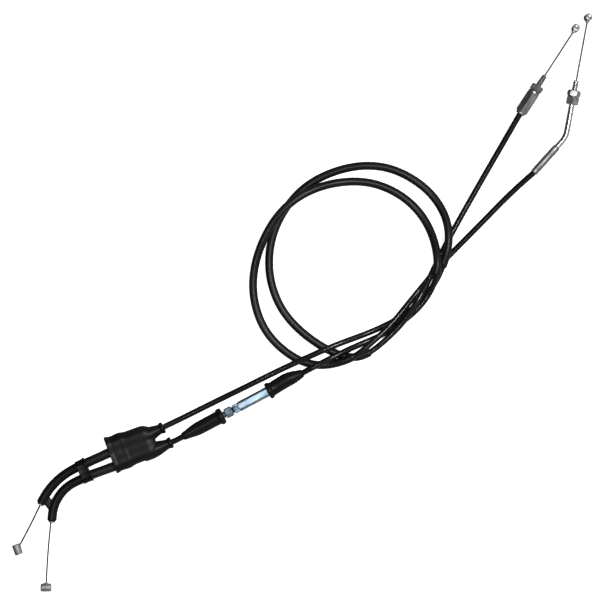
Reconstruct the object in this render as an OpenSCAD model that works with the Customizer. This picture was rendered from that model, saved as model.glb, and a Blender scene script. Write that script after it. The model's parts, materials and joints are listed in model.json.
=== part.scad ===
// Pair of motorcycle throttle cables: a pull cable with an in-line adjuster and a
// return cable, laid flat as they come out of the bag with one loop in the middle.
// The grip end is towards -X, the carburettor end towards +X, and the floor is z = 0.
// Headings are angles in the floor plane, in degrees anticlockwise from +X.

/* [Casings] */
// Outer diameter of each cable casing
casing_d = 5; // [4.5:0.5:5]
// Outer diameter of the thicker sleeve over the loop
loop_sleeve_d = 7; // [6:0.5:7]
// Diameter of the stranded inner wires
wire_d = 1.5; // [1.2:0.1:1.8]
// Number of sides of the casing tubes
casing_sides = 8; // [8:2:12]

/* [Grip end] */
// Outer diameter of the bent steel guide pipes
pipe_d = 5.5; // [5:0.1:5.8]
// Outer diameter of the moulded cover on each guide pipe
cover_d = 8; // [7.6:0.1:8]
// Distance between the two pipes in the collar
pipe_pitch = 10.6; // [10.2:0.1:10.8]
// Outer diameter of the rubber sleeves behind the collar
pipe_sleeve_d = 8.2; // [7.6:0.2:8.2]
// Free length of the pull wire beyond its guide mouth
pull_grip_free = 52; // [46:1:60]
// Free length of the return wire beyond its guide mouth
return_grip_free = 39; // [38:1:45]

/* [Adjusters] */
// Distance across the flats of the in-line barrel
barrel_af = 7.5; // [7.5:0.1:8]
// Distance across the flats of the in-line lock nut
inline_nut_af = 8; // [7.8:0.1:8.2]
// Distance across the flats of the nuts at the carburettor end
nut_af = 10; // [9.5:0.1:10]
// Outer diameter of the threads at the carburettor end
thread_d = 5; // [4.9:0.05:5]
// Radial clearance of each nut and of the barrel on its thread
running_gap = 0.05; // [0.02:0.01:0.1]
// Free length of the pull wire beyond its bent tube
pull_carb_free = 49.5; // [45:0.5:60]
// Free length of the return wire beyond its adjuster
return_carb_free = 42.8; // [40:0.2:50]

/* [Nipples] */
// Diameter of the grip-end barrel nipples
grip_nipple_d = 7; // [6:0.2:7.4]
// Length of the grip-end barrel nipples
grip_nipple_length = 9.2; // [8:0.2:10]
// Diameter of the carburettor-end barrel nipples
carb_nipple_d = 6.5; // [6:0.1:7]
// Length of the carburettor-end barrel nipples
carb_nipple_length = 7; // [6:0.2:8]

/* [Hidden] */
$fn = 48;
OVER = 1;              // how far a cutting shape runs past the face it opens
GRIP_Z = 7.4;          // height of the grip-end axes
CARB_Z = 5.8;          // height of the carburettor-end axes
CHAMFER = 0.6;         // chamfer on nipples and nuts
SEAM = 0.3;            // how far a bent bar's straights run over its arc
SEAM_STEP = 0.01;      // how much thinner the arc is
EDGE = 0.4;            // small chamfer on long turned parts
NECK_WALL = 1;         // rubber round a casing where a boot ends
WIRE_HOLE_R = wire_d / 2 + 0.5;
CASING_HOLE_R = casing_d / 2 + 0.3;

// Collar and guide pipes
COLLAR = [-242.4, 32.9];
COLLAR_HEADING = 162;
COLLAR_SIZE = [9, 20.6, 10.5];
COLLAR_BEAD = 1.4;     // width of the raised bead at each end of the collar
BEAD_GROWTH = 1;       // how much wider and thicker each bead is than the collar
PULL_BEND = [10, 35, 60, 6];      // straight, bend radius, bend angle, straight
RETURN_BEND = [4.6, 62, 38, 4];
PIPE_BORE_R = 1.6;
PIPE_PROUD = 1;        // how far each pipe stands out of its cover
WEB_Z = 4.6;           // thickness of the web between the two covers

// Twin boot
BOOT = [-216.5, 27];
BOOT_HEADING = -22;
BOOT_BODY = [33, 30.4, 14];
BOOT_LIP = [3, 33, 14.8];
BOOT_LIP_START = -1;
BOOT_BACK = 2;         // how far the body runs on past its cavity
BOOT_CAVITY = [33, 28.4, 11];
NECK_R = [7, 3.9];
BEAD_R = 5.15;
BEAD_LENGTH = 3;
UPPER_NECK = [-167.2, 13.9, -16.5];   // end point and heading of the return neck
NECK_LENGTH = 18;
PULL_SLEEVE = [-239.7, 26.3, -23.3];  // start point and heading
RETURN_SLEEVE = [-236.5, 36.6, -18.8];
SLEEVE_LENGTH = 29;
CAP_LENGTH = 14;
CAP_R = 3.4;

// In-line adjuster: distances along its axis from its anchor point
INLINE = [-97.3, -20.1];
INLINE_HEADING = -15;
SCREW = [-45, -10];
SCREW_R = 3;
LOCKNUT = [-25.5, -19.5];
BARREL = [-16, 22];
BARREL_STOP = -9.5;    // end of the screw's bore inside the barrel
FERRULE = [12, 24];
FERRULE_R = 3.2;
FERRULE_FLOOR = 2;     // thickness of the ferrule's drilled end
CASING_START = 50;     // where the main pull casing leaves the boot
SMALL_BOOT_R = 6;
LARGE_BOOT_R = 7;      // body of the boot over the ferrule
SMALL_LIP_R = 7.3;
SMALL_CAVITY_R = 5;
LINK_BEND = [25, 60, 4, 2];   // link casing from the screw's back end to the pull neck
GRIP_BOOT = [-65, -52, -31, -27];     // neck end, cone end, lip start, lip end
GRIP_BOOT_NECK = 5;    // length of the part that grips the link casing
CARB_BOOT = [15.5, 19.6, 38.7, 49.5]; // lip start, lip end, cone start, neck end

// Carburettor end: distances along each axis from its anchor point
RETURN_END = [236, 2.2];
RETURN_HEADING = 14;
CRIMP = [-0.6, 2];
CRIMP_R = 4.2;
ADJUSTER = [2, 21, 22.5, 38.6];       // hexagon, collar, shoulder, tip
RETURN_NUT = [23.2, 28.2];
HIDDEN_ROD = 4;        // length of return wire held inside the adjuster
STROKE = 30;           // how far each inner wire slides
SHANK_R = 2.2;         // root radius of the threads where the nuts run
NUT_FREE = 0.2;        // how far the shank shows past a nut
PULL_END = [209.8, -42.4];
PULL_HEADING = 5;
TUBE_FERRULE = [0.2, 30];
TUBE_FERRULE_R = 3.15;
TUBE_START = 20;
TUBE_BEND = [16.2, 18, 31.5, 43.6];
TUBE_BORE_R = 1.5;
LOWER_NUT = [20.5, 14.5];  // both nuts are measured back from the tube's tip
UPPER_NUT = [13.5, 8.5];
HIDDEN_TAIL = 8;       // length of pull wire held inside the bent tube

// Route of the pull casing's centreline, from the in-line adjuster to the long ferrule
PULL_ROUTE = [
    [-49, -33, 7.5], [-37.5, -36, 11.5], [-25, -39.5, 12.5], [-10, -44, 9.5],
    [1.5, -48, 6], [13.5, -52.5, 4.5], [26, -56.5, 4.5], [39.5, -59, 5.5],
    [52.5, -60, 7], [64.5, -59.5, 9], [77.5, -56.5, 11.5], [88, -51.5, 16],
    [97, -44, 17.5], [104.5, -34.5, 14], [112, -21, 6.5], [117, -2, 3.5],
    [115.5, 21, 3.5], [105, 45.5, 3.5], [87.5, 62.5, 4], [68, 74, 8.5],
    [47, 80, 12], [26, 80, 12], [3.5, 73.5, 8.5], [-18, 62, 3.5],
    [-35.5, 45.5, 3.5], [-47.5, 22.5, 3.5], [-50, 1, 3.5], [-46, -21, 3.5],
    [-38.5, -34.5, 3.5], [-28.5, -43.5, 5.5], [-17, -49.5, 10.5], [-5.5, -53.5, 12.5],
    [10.5, -54, 11.5], [25, -54.5, 10], [40, -53.5, 8.5], [56, -51, 6],
    [75, -48.5, 2.5], [101, -45, 2.5], [140, -44, 2.5], [182, -41.5, 3],
    [210, -42.4, 5.8]
];
PULL_LOOP = [11.2, 30.8];     // where the thicker sleeve starts and ends, in points

// Route of the return casing's centreline, from the twin boot to the crimped end
RETURN_ROUTE = [
    [-167, 14, 7.5], [-153, 9.5, 6.5], [-124, 1, 3.5], [-95, -8, 3.5],
    [-66, -16.5, 7.5], [-47.5, -22.5, 10], [-30, -28.5, 11], [-13, -34.5, 9.5],
    [1, -40.5, 6.5], [14, -46, 3], [28, -51, 2.5], [43.5, -55, 2.5],
    [57.5, -57, 2.5], [72, -56.5, 2.5], [86.5, -53.5, 6.5], [96, -49.5, 10],
    [106.5, -44, 11.5], [116.5, -37, 11.5], [125, -27.5, 9.5], [131.5, -15.5, 6.5],
    [135, 3.5, 3.5], [132, 24.5, 3.5], [123, 46.5, 3.5], [106, 64, 3.5],
    [85, 75.5, 3.5], [62.5, 82, 3.5], [40.5, 81, 3.5], [18, 74.5, 3.5],
    [-1.5, 61.5, 3.5], [-17, 43.5, 3.5], [-26.5, 20, 3.5], [-27.5, -3, 3.5],
    [-23.5, -25, 3.5], [-17, -43, 3.5], [-8.5, -54.5, 3.5], [3.5, -59.5, 4],
    [16.5, -60.5, 7], [29, -60.5, 9.5], [40, -60, 11.5], [52, -57.5, 12.5],
    [64, -54.5, 13.5], [76, -51, 11], [90, -45, 8], [102, -40.5, 5.5],
    [122.5, -33, 3.5], [160, -21, 2.5], [205, -7.3, 3], [235.4, 2.05, 5.8]
];
RETURN_LOOP = [15.2, 35.1];

// ---- Placing along an axis -------------------------------------------------

// The point a distance along a heading from an anchor, in the floor plane
function along(anchor, heading, distance, side = 0) =
    [anchor[0] + distance * cos(heading) - side * sin(heading),
     anchor[1] + distance * sin(heading) + side * cos(heading)];

// Puts children, which run along +X, on an axis at a height
module on_axis(anchor, heading, height) {
    translate([anchor[0], anchor[1], height]) rotate([0, 0, heading]) children();
}

// A straight round bar or cone between two distances along the axis
module rod(from, to, r, r_end = 0) {
    translate([from, 0, 0]) rotate([0, 90, 0])
        cylinder(h = to - from, r1 = r, r2 = r_end > 0 ? r_end : r);
}

// A hexagonal bar with a corner upwards and chamfered ends
module hex_bar(from, to, af, chamfer = CHAMFER) {
    corner = af / sqrt(3);
    intersection() {
        translate([from, 0, 0]) rotate([0, 90, 0]) cylinder(h = to - from, r = corner, $fn = 6);
        chamfered_rod(from, to, corner, chamfer);
    }
}

// A round bar with a chamfer at both ends
module chamfered_rod(from, to, r, chamfer = CHAMFER) {
    translate([from, 0, 0]) rotate([0, 90, 0]) rotate_extrude()
        polygon([[0, 0], [r - chamfer, 0], [r, chamfer], [r, to - from - chamfer],
                 [r - chamfer, to - from], [0, to - from]]);
}

// A round bar: straight, then an arc turning anticlockwise, then straight.
// Each straight runs a little way over the arc, which is a hair thinner.
module bent_rod(r, bend, before = 0, after = 0) {
    rod(-before, bend[0] + SEAM, r);
    translate([bend[0], bend[1], 0]) rotate([0, 0, -90])
        rotate_extrude(angle = bend[2]) translate([bend[1], 0]) circle(r = r - SEAM_STEP);
    translate([bend[0] + bend[1] * sin(bend[2]), bend[1] * (1 - cos(bend[2])), 0])
        rotate([0, 0, bend[2]]) rod(-SEAM, bend[3] + after, r);
}

// The end point of a bent rod that starts at an anchor, turning left (1) or right (-1)
function bend_end(anchor, heading, bend, turn = 1) =
    along(along(anchor, heading, bend[0] + bend[1] * sin(bend[2]),
                turn * bend[1] * (1 - cos(bend[2]))),
          heading + turn * bend[2], bend[3]);

// A flat bar with round sides, centred on the axis
module stadium(from, size) {
    half = (size[1] - size[2]) / 2;
    translate([from, 0, 0]) {
        for (side = [-1, 1]) translate([0, side * half, 0]) rod(0, size[0], size[2] / 2);
        translate([0, -half, -size[2] / 2]) cube([size[0], 2 * half, size[2]]);
    }
}

// ---- Casing tubes ----------------------------------------------------------

// A route's point by index, with one extrapolated point beyond each end
function route_point(route, i) =
    i < 0 ? 2 * route[0] - route[1]
    : i >= len(route) ? 2 * route[len(route) - 1] - route[len(route) - 2]
    : route[i];

// A point of the uniform cubic B-spline along a route
function spline(route, u) =
    let (i = min(floor(u), len(route) - 2), t = u - i,
         a = route_point(route, i - 1), b = route_point(route, i),
         c = route_point(route, i + 1), d = route_point(route, i + 2))
    (a * pow(1 - t, 3) + b * (3 * pow(t, 3) - 6 * t * t + 4)
     + c * (-3 * pow(t, 3) + 3 * t * t + 3 * t + 1) + d * pow(t, 3)) / 6;

// The spline's direction at a place on the route
function direction(route, u) =
    let (step = 0.02, last = len(route) - 1)
    spline(route, min(u + step, last)) - spline(route, max(u - step, 0));

RING_GAP = 0.4;        // least distance between a tube's end and its next ring, in points

// Places of a tube's rings: both ends and the whole numbers well inside them
function ring_places(from, to) =
    concat([from], [for (i = [ceil(from + RING_GAP) : floor(to - RING_GAP)]) i], [to]);

// One ring of points square to the route
function ring(route, u, r) =
    let (centre = spline(route, u), run = direction(route, u),
         ahead = run / norm(run), level = cross(ahead, [0, 0, 1]),
         side = level / norm(level), up = cross(side, ahead))
    [for (k = [0 : casing_sides - 1])
        let (angle = 360 * (k + 0.5) / casing_sides)
        centre + r * (cos(angle) * side + sin(angle) * up)];

// A closed tube along part of a route
module casing_tube(route, from, to, d) {
    places = ring_places(from, to);
    rings = len(places);
    n = casing_sides;
    points = [for (u = places) each ring(route, u, d / 2)];
    sides = [for (i = [0 : rings - 2], k = [0 : n - 1])
        let (a = i * n + k, b = i * n + (k + 1) % n)
        each [[a, b, b + n], [a, b + n, a + n]]];
    start_cap = [[for (k = [n - 1 : -1 : 0]) k]];
    end_cap = [[for (k = [0 : n - 1]) (rings - 1) * n + k]];
    polyhedron(points, concat(sides, start_cap, end_cap));
}

module pull_casing_front() {
    color([0.09, 0.09, 0.1]) casing_tube(PULL_ROUTE, 0, PULL_LOOP[0], casing_d);
}

module pull_loop_sleeve() {
    color([0.13, 0.13, 0.14]) casing_tube(PULL_ROUTE, PULL_LOOP[0], PULL_LOOP[1], loop_sleeve_d);
}

module pull_casing_rear() {
    color([0.09, 0.09, 0.1])
        casing_tube(PULL_ROUTE, PULL_LOOP[1], len(PULL_ROUTE) - 1, casing_d);
}

module return_casing_front() {
    color([0.09, 0.09, 0.1]) casing_tube(RETURN_ROUTE, 0, RETURN_LOOP[0], casing_d);
}

module return_loop_sleeve() {
    color([0.13, 0.13, 0.14])
        casing_tube(RETURN_ROUTE, RETURN_LOOP[0], RETURN_LOOP[1], loop_sleeve_d);
}

module return_casing_rear() {
    color([0.09, 0.09, 0.1])
        casing_tube(RETURN_ROUTE, RETURN_LOOP[1], len(RETURN_ROUTE) - 1, casing_d);
}

// ---- Grip end --------------------------------------------------------------

PULL_PIPE = along(COLLAR, COLLAR_HEADING, 0, pipe_pitch / 2);
RETURN_PIPE = along(COLLAR, COLLAR_HEADING, 0, -pipe_pitch / 2);
PULL_MOUTH = bend_end(PULL_PIPE, COLLAR_HEADING, PULL_BEND);
RETURN_MOUTH = bend_end(RETURN_PIPE, COLLAR_HEADING, RETURN_BEND);
PULL_OUT = COLLAR_HEADING + PULL_BEND[2];
RETURN_OUT = COLLAR_HEADING + RETURN_BEND[2];

module guide_pipe(anchor, bend) {
    on_axis(anchor, COLLAR_HEADING, GRIP_Z) difference() {
        bent_rod(pipe_d / 2, bend);
        bent_rod(PIPE_BORE_R, bend, OVER, OVER);
    }
}

module pull_guide_pipe() {
    color([0.62, 0.63, 0.65]) guide_pipe(PULL_PIPE, PULL_BEND);
}

module return_guide_pipe() {
    color([0.62, 0.63, 0.65]) guide_pipe(RETURN_PIPE, RETURN_BEND);
}

// Front half of the collar, which the covers start from
module collar_block() {
    on_axis(COLLAR, COLLAR_HEADING, GRIP_Z) stadium(-COLLAR_SIZE[0] / 2, COLLAR_SIZE);
}

module guide_cover() {
    color([0.1, 0.1, 0.11]) difference() {
        union() {
            on_axis(PULL_PIPE, COLLAR_HEADING, GRIP_Z)
                bent_rod(cover_d / 2, PULL_BEND, 0, -PIPE_PROUD);
            on_axis(RETURN_PIPE, COLLAR_HEADING, GRIP_Z)
                bent_rod(cover_d / 2, RETURN_BEND, 0, -PIPE_PROUD);
            on_axis(WEB_FOOT, WEB_HEADING, GRIP_Z)
                translate([0, -WEB_WIDTH / 2, -WEB_Z / 2]) cube([WEB_LENGTH, WEB_WIDTH, WEB_Z]);
        }
        on_axis(PULL_PIPE, COLLAR_HEADING, GRIP_Z) bent_rod(pipe_d / 2, PULL_BEND, OVER, OVER);
        on_axis(RETURN_PIPE, COLLAR_HEADING, GRIP_Z)
            bent_rod(pipe_d / 2, RETURN_BEND, OVER, OVER);
        collar_block();
    }
}

// The web joins the return cover to the pull cover, across the slot between them
WEB_FOOT = [-283.6, 26.4];
WEB_HEADING = 84;
WEB_LENGTH = 12;
WEB_WIDTH = 7;

module guide_collar() {
    color([0.1, 0.1, 0.11]) difference() {
        union() {
            collar_block();
            for (x = [-COLLAR_SIZE[0] / 2, COLLAR_SIZE[0] / 2 - COLLAR_BEAD])
                on_axis(COLLAR, COLLAR_HEADING, GRIP_Z)
                    stadium(x, [COLLAR_BEAD, COLLAR_SIZE[1] + BEAD_GROWTH,
                                COLLAR_SIZE[2] + BEAD_GROWTH]);
        }
        for (side = [-1, 1])
            on_axis(along(COLLAR, COLLAR_HEADING, 0, side * pipe_pitch / 2), COLLAR_HEADING, GRIP_Z) {
                rod(0, COLLAR_SIZE[0], pipe_d / 2);
                rod(-COLLAR_SIZE[0], OVER, PIPE_BORE_R);
            }
    }
}

module pipe_sleeve(start) {
    difference() {
        on_axis(start, start[2], GRIP_Z) difference() {
            rod(-OVER, SLEEVE_LENGTH, pipe_sleeve_d / 2);
            rod(-2 * OVER, SLEEVE_LENGTH + OVER, PIPE_BORE_R);
        }
        // trimmed flush with the back face of the collar
        on_axis(COLLAR, COLLAR_HEADING, GRIP_Z)
            translate([-COLLAR_SIZE[0] / 2, -COLLAR_SIZE[1], -COLLAR_SIZE[2]])
                cube([COLLAR_SIZE[0], 2 * COLLAR_SIZE[1], 2 * COLLAR_SIZE[2]]);
    }
}

module pull_pipe_sleeve() {
    color([0.12, 0.12, 0.13]) pipe_sleeve(PULL_SLEEVE);
}

module return_pipe_sleeve() {
    color([0.12, 0.12, 0.13]) pipe_sleeve(RETURN_SLEEVE);
}

// A tapered neck of the twin boot, with a bead at its end
module boot_neck(neck) {
    on_axis(neck, neck[2], GRIP_Z) {
        rod(-NECK_LENGTH, -BEAD_LENGTH, NECK_R[0], NECK_R[1]);
        rod(-BEAD_LENGTH, 0, BEAD_R);
    }
}

// The link casing turns right on its way from the screw to the pull neck
SCREW_BACK = along(INLINE, INLINE_HEADING, SCREW[0]);
LOWER_NECK = concat(bend_end(SCREW_BACK, INLINE_HEADING + 180, LINK_BEND, -1),
                    [INLINE_HEADING - LINK_BEND[2]]);

module twin_boot() {
    color([0.08, 0.08, 0.09]) difference() {
        union() {
            on_axis(BOOT, BOOT_HEADING, GRIP_Z) {
                stadium(0, [BOOT_BODY[0] + BOOT_BACK, BOOT_BODY[1], BOOT_BODY[2]]);
                stadium(BOOT_LIP_START, BOOT_LIP);
            }
            boot_neck(UPPER_NECK);
            boot_neck(LOWER_NECK);
        }
        on_axis(BOOT, BOOT_HEADING, GRIP_Z) stadium(BOOT_LIP_START - OVER, BOOT_CAVITY);
        for (neck = [UPPER_NECK, LOWER_NECK])
            on_axis(neck, neck[2], GRIP_Z) rod(-2 * NECK_LENGTH, OVER, casing_d / 2 + running_gap);
    }
}

// A metal cap on a casing's hidden end, straight behind the neck that it faces
module casing_cap(neck, back) {
    on_axis(neck, neck[2], GRIP_Z) rod(back - CAP_LENGTH, back, CAP_R);
}

CAP_BACK = -26;        // where the casings enter their caps, from the neck's end

module pull_casing_cap() {
    color([0.6, 0.6, 0.62]) casing_cap(LOWER_NECK, CAP_BACK);
}

module return_casing_cap() {
    color([0.6, 0.6, 0.62]) casing_cap(UPPER_NECK, CAP_BACK);
}

module return_casing_stub() {
    color([0.09, 0.09, 0.1]) on_axis(UPPER_NECK, UPPER_NECK[2], GRIP_Z)
        rod(CAP_BACK, 0, casing_d / 2);
}

module pull_link_casing() {
    color([0.09, 0.09, 0.1]) on_axis(SCREW_BACK, INLINE_HEADING + 180, GRIP_Z)
        mirror([0, 1, 0]) bent_rod(casing_d / 2, LINK_BEND, 0, -CAP_BACK);
}

// ---- In-line adjuster ------------------------------------------------------

module on_inline() {
    on_axis(INLINE, INLINE_HEADING, GRIP_Z) children();
}

module inline_screw() {
    color([0.66, 0.67, 0.7]) on_inline() difference() {
        chamfered_rod(SCREW[0], SCREW[1], SCREW_R);
        rod(SCREW[0] - OVER, SCREW[1] + OVER, WIRE_HOLE_R);
    }
}

module inline_locknut() {
    color([0.66, 0.67, 0.7]) on_inline() difference() {
        hex_bar(LOCKNUT[0], LOCKNUT[1], inline_nut_af);
        rod(LOCKNUT[0] - OVER, LOCKNUT[1] + OVER, SCREW_R + running_gap);
    }
}

module inline_barrel() {
    color([0.72, 0.74, 0.78]) on_inline() difference() {
        hex_bar(BARREL[0], BARREL[1], barrel_af);
        rod(BARREL[0] - OVER, BARREL_STOP, SCREW_R + running_gap);
        rod(BARREL_STOP - OVER, FERRULE[0] + OVER, WIRE_HOLE_R);
        rod(FERRULE[0] - running_gap, BARREL[1] + OVER, FERRULE_R + running_gap);
    }
}

module inline_ferrule() {
    color([0.66, 0.67, 0.7]) on_inline() difference() {
        rod(FERRULE[0], FERRULE[1], FERRULE_R);
        rod(FERRULE[0] + FERRULE_FLOOR, FERRULE[1] + OVER, casing_d / 2);
        rod(FERRULE[0] - OVER, FERRULE[1], WIRE_HOLE_R);
    }
}

module pull_casing_stub() {
    color([0.09, 0.09, 0.1]) on_inline()
        rod(FERRULE[0] + FERRULE_FLOOR, CASING_START, casing_d / 2);
}

module grip_side_boot() {
    color([0.08, 0.08, 0.09]) on_inline() difference() {
        union() {
            rod(GRIP_BOOT[0], GRIP_BOOT[1], casing_d / 2 + NECK_WALL, SMALL_BOOT_R);
            rod(GRIP_BOOT[1], GRIP_BOOT[3], SMALL_BOOT_R);
            rod(GRIP_BOOT[2], GRIP_BOOT[3], SMALL_LIP_R);
        }
        rod(GRIP_BOOT[0] - OVER, GRIP_BOOT[3], CASING_HOLE_R);
        rod(GRIP_BOOT[0] + GRIP_BOOT_NECK, GRIP_BOOT[1], CASING_HOLE_R, SMALL_CAVITY_R);
        rod(GRIP_BOOT[1], GRIP_BOOT[3] + OVER, SMALL_CAVITY_R);
    }
}

module carb_side_boot() {
    color([0.08, 0.08, 0.09]) on_inline() difference() {
        union() {
            rod(CARB_BOOT[0], CARB_BOOT[1], SMALL_LIP_R);
            rod(CARB_BOOT[0], CARB_BOOT[2], LARGE_BOOT_R);
            rod(CARB_BOOT[2], CARB_BOOT[3], LARGE_BOOT_R, casing_d / 2 + NECK_WALL);
        }
        rod(CARB_BOOT[0] - OVER, CARB_BOOT[2], SMALL_CAVITY_R);
        rod(CARB_BOOT[0], CARB_BOOT[3] + OVER, CASING_HOLE_R);
    }
}

// ---- Carburettor end -------------------------------------------------------

RETURN_TIP = along(RETURN_END, RETURN_HEADING, ADJUSTER[3]);

module on_return_end() {
    on_axis(RETURN_END, RETURN_HEADING, CARB_Z) children();
}

module return_end_ferrule() {
    color([0.66, 0.66, 0.67]) on_return_end() chamfered_rod(CRIMP[0], CRIMP[1], CRIMP_R);
}

module return_adjuster() {
    color([0.6, 0.6, 0.61]) on_return_end() difference() {
        union() {
            hex_bar(ADJUSTER[0], ADJUSTER[1], nut_af, EDGE);
            rod(ADJUSTER[1], ADJUSTER[2], nut_af / 2);
            rod(ADJUSTER[1], ADJUSTER[3], SHANK_R);
            rod(RETURN_NUT[1] + NUT_FREE, ADJUSTER[3], thread_d / 2);
        }
        rod(ADJUSTER[3] - HIDDEN_ROD - STROKE - OVER, ADJUSTER[3] + OVER, WIRE_HOLE_R);
    }
}

module return_locknut() {
    color([0.62, 0.62, 0.63]) on_return_end() difference() {
        hex_bar(RETURN_NUT[0], RETURN_NUT[1], nut_af);
        rod(RETURN_NUT[0] - OVER, RETURN_NUT[1] + OVER, SHANK_R + running_gap);
    }
}

module pull_tube_ferrule() {
    color([0.62, 0.62, 0.63]) on_axis(PULL_END, PULL_HEADING, CARB_Z) difference() {
        chamfered_rod(TUBE_FERRULE[0], TUBE_FERRULE[1], TUBE_FERRULE_R, EDGE);
        rod(TUBE_START, TUBE_FERRULE[1] + OVER, thread_d / 2);
    }
}

TUBE_ANCHOR = along(PULL_END, PULL_HEADING, TUBE_START);
TUBE_HEADING = PULL_HEADING + TUBE_BEND[2];
TUBE_TIP = bend_end(TUBE_ANCHOR, PULL_HEADING, TUBE_BEND);

// What is cut away round the tube's shank where its nuts run
module shank_relief() {
    on_tube_tip() difference() {
        rod(-LOWER_NUT[0] - NUT_FREE, -UPPER_NUT[1] + NUT_FREE, thread_d);
        rod(-LOWER_NUT[0] - OVER, -UPPER_NUT[1] + OVER, SHANK_R);
    }
}

module pull_bent_tube() {
    color([0.72, 0.73, 0.75]) difference() {
        on_axis(TUBE_ANCHOR, PULL_HEADING, CARB_Z) difference() {
            bent_rod(thread_d / 2, TUBE_BEND);
            bent_rod(TUBE_BORE_R, TUBE_BEND, OVER, OVER);
        }
        shank_relief();
    }
}

// Puts children on the tube's threaded end, with distance 0 at its tip
module on_tube_tip() {
    on_axis(TUBE_TIP, TUBE_HEADING, CARB_Z) children();
}

module tube_nut(place) {
    on_tube_tip() difference() {
        hex_bar(-place[0], -place[1], nut_af);
        rod(-place[0] - OVER, -place[1] + OVER, SHANK_R + running_gap);
    }
}

module pull_lower_nut() {
    color([0.5, 0.5, 0.52]) tube_nut(LOWER_NUT);
}

module pull_upper_nut() {
    color([0.68, 0.68, 0.7]) tube_nut(UPPER_NUT);
}

// ---- Inner wires and nipples -----------------------------------------------

MOUTH_TAIL = [5, 3];   // length of the pull and return wires held in their guides

// A bare wire from inside its guide to the middle of its nipple
module wire(anchor, heading, height, tail, free, nipple_r) {
    on_axis(anchor, heading, height) rod(-tail, free + nipple_r, wire_d / 2);
}

module pull_grip_wire() {
    color([0.45, 0.46, 0.48])
        wire(PULL_MOUTH, PULL_OUT, GRIP_Z, MOUTH_TAIL[0], pull_grip_free, grip_nipple_d / 2);
}

module return_grip_wire() {
    color([0.45, 0.46, 0.48])
        wire(RETURN_MOUTH, RETURN_OUT, GRIP_Z, MOUTH_TAIL[1], return_grip_free, grip_nipple_d / 2);
}

module pull_carb_wire() {
    color([0.45, 0.46, 0.48])
        wire(TUBE_TIP, TUBE_HEADING, CARB_Z,
             HIDDEN_TAIL, pull_carb_free + BOSS, carb_nipple_d / 2);
}

module return_carb_wire() {
    color([0.45, 0.46, 0.48])
        wire(RETURN_TIP, RETURN_HEADING, CARB_Z,
             HIDDEN_ROD, return_carb_free + BOSS, carb_nipple_d / 2);
}

// A barrel nipple whose axis has a heading and a rise, drilled for its wire.
// A short boss stands out where the wire enters.
module nipple(centre, height, axis_heading, rise, wire_heading, d, length, boss = 0) {
    translate([centre[0], centre[1], height]) difference() {
        union() {
            rotate([0, -rise, axis_heading]) chamfered_rod(-length / 2, length / 2, d / 2);
            if (boss > 0)
                rotate([0, 0, wire_heading]) rod(-d / 2 - boss, 0, wire_d / 2 + BOSS_WALL, d / 3);
        }
        rotate([0, 0, wire_heading]) rod(-length, 0, wire_d / 2);
    }
}

PULL_GRIP_AXIS = -43;
RETURN_GRIP_AXIS = 67;
CARB_RISE = 70;        // the carburettor-end nipples stand nearly upright
PULL_CARB_AXIS = -3;
BOSS = 1.8;            // how far the wire's boss stands out of the barrel
BOSS_WALL = 0.4;

module pull_grip_nipple() {
    color([0.55, 0.57, 0.57])
        nipple(along(PULL_MOUTH, PULL_OUT, pull_grip_free + grip_nipple_d / 2), GRIP_Z,
               PULL_GRIP_AXIS, 0, PULL_OUT, grip_nipple_d, grip_nipple_length);
}

module return_grip_nipple() {
    color([0.48, 0.5, 0.5])
        nipple(along(RETURN_MOUTH, RETURN_OUT, return_grip_free + grip_nipple_d / 2), GRIP_Z,
               RETURN_GRIP_AXIS, 0, RETURN_OUT, grip_nipple_d, grip_nipple_length);
}

module pull_carb_nipple() {
    color([0.5, 0.51, 0.51])
        nipple(along(TUBE_TIP, TUBE_HEADING, pull_carb_free + BOSS + carb_nipple_d / 2), CARB_Z,
               PULL_CARB_AXIS, CARB_RISE, TUBE_HEADING, carb_nipple_d, carb_nipple_length, BOSS);
}

module return_carb_nipple() {
    color([0.5, 0.51, 0.51])
        nipple(along(RETURN_TIP, RETURN_HEADING, return_carb_free + BOSS + carb_nipple_d / 2),
               CARB_Z, RETURN_HEADING, CARB_RISE, RETURN_HEADING,
               carb_nipple_d, carb_nipple_length, BOSS);
}

pull_guide_pipe();
return_guide_pipe();
guide_cover();
guide_collar();
pull_pipe_sleeve();
return_pipe_sleeve();
twin_boot();
pull_casing_cap();
return_casing_cap();
pull_link_casing();
return_casing_stub();
inline_screw();
inline_locknut();
inline_barrel();
inline_ferrule();
pull_casing_stub();
grip_side_boot();
carb_side_boot();
pull_casing_front();
pull_loop_sleeve();
pull_casing_rear();
return_casing_front();
return_loop_sleeve();
return_casing_rear();
return_end_ferrule();
return_adjuster();
return_locknut();
pull_tube_ferrule();
pull_bent_tube();
pull_lower_nut();
pull_upper_nut();
pull_grip_wire();
return_grip_wire();
pull_carb_wire();
return_carb_wire();
pull_grip_nipple();
return_grip_nipple();
pull_carb_nipple();
return_carb_nipple();
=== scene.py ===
"""Looks for a pair of motorcycle throttle cables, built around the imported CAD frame."""
import json
import math

import bmesh
import bpy
import numpy as np
from mathutils import Matrix, Vector


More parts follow.
